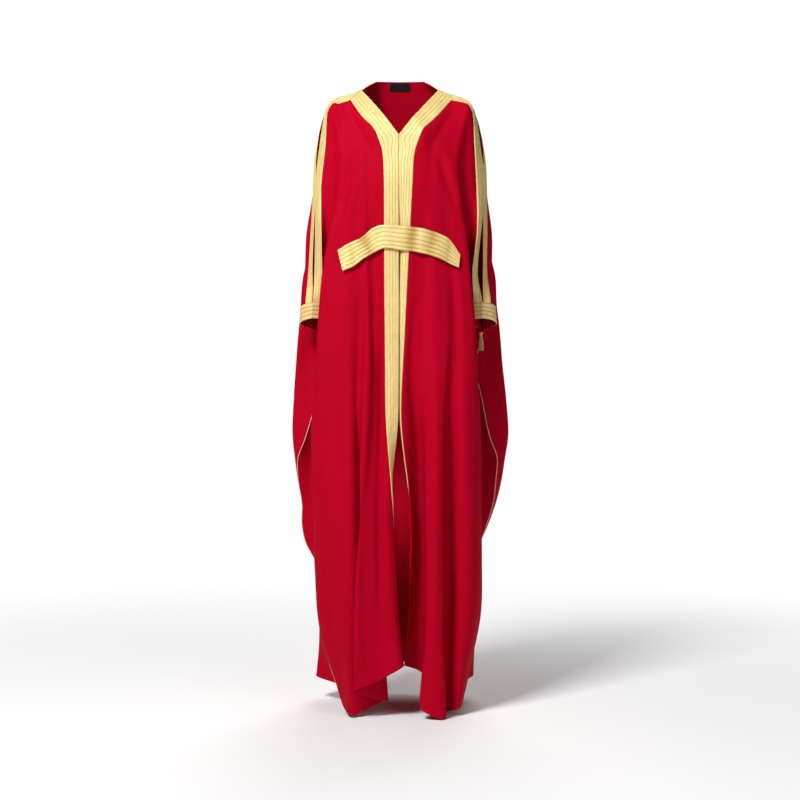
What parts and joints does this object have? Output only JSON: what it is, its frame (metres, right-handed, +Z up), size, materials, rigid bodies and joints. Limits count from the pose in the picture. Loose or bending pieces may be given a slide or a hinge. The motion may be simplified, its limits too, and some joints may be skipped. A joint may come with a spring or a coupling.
{
  "type": "open-front kaftan",
  "caption": "Long batwing kaftan with braid along its open front, V neck, slit sleeves and wrists, a belt piece at the waist, piped side seams and wrist tassels.",
  "frame": {"origin": "middle of the shoulders, between the two points where neck and shoulder seams meet, where the garment is held", "axes": "+Z up, front towards -Y, +X towards the wearer's left"},
  "size_m": [0.5238, 0.3414, 1.5039],
  "materials": {
    "red_cloth": "matte crepe",
    "gold_braid": "satin braid with rows of stitching",
    "gold_piping": "satin cord",
    "gold_tassel": "silky thread",
    "black_label": "plain satin tape"
  },
  "bodies": {
    "root": {"front_left": "red_cloth", "front_right": "red_cloth", "back": "red_cloth", "centre_braid_left": "gold_braid", "neck_braid_left": "gold_braid", "shoulder_braid_left": "gold_braid", "sleeve_braid_left": "gold_braid", "centre_braid_right": "gold_braid", "neck_braid_right": "gold_braid", "shoulder_braid_right": "gold_braid", "sleeve_braid_right": "gold_braid", "neck_braid_back_left": "gold_braid", "shoulder_braid_back_left": "gold_braid", "sleeve_braid_back_left": "gold_braid", "neck_braid_back_right": "gold_braid", "shoulder_braid_back_right": "gold_braid", "sleeve_braid_back_right": "gold_braid", "cuff_left": "gold_braid", "cuff_right": "gold_braid", "belt": "gold_braid", "side_piping_left": "gold_piping", "side_piping_right": "gold_piping", "tassel_left": "gold_tassel", "tassel_right": "gold_tassel", "neck_label": "black_label"}
  },
  "joints": []
}
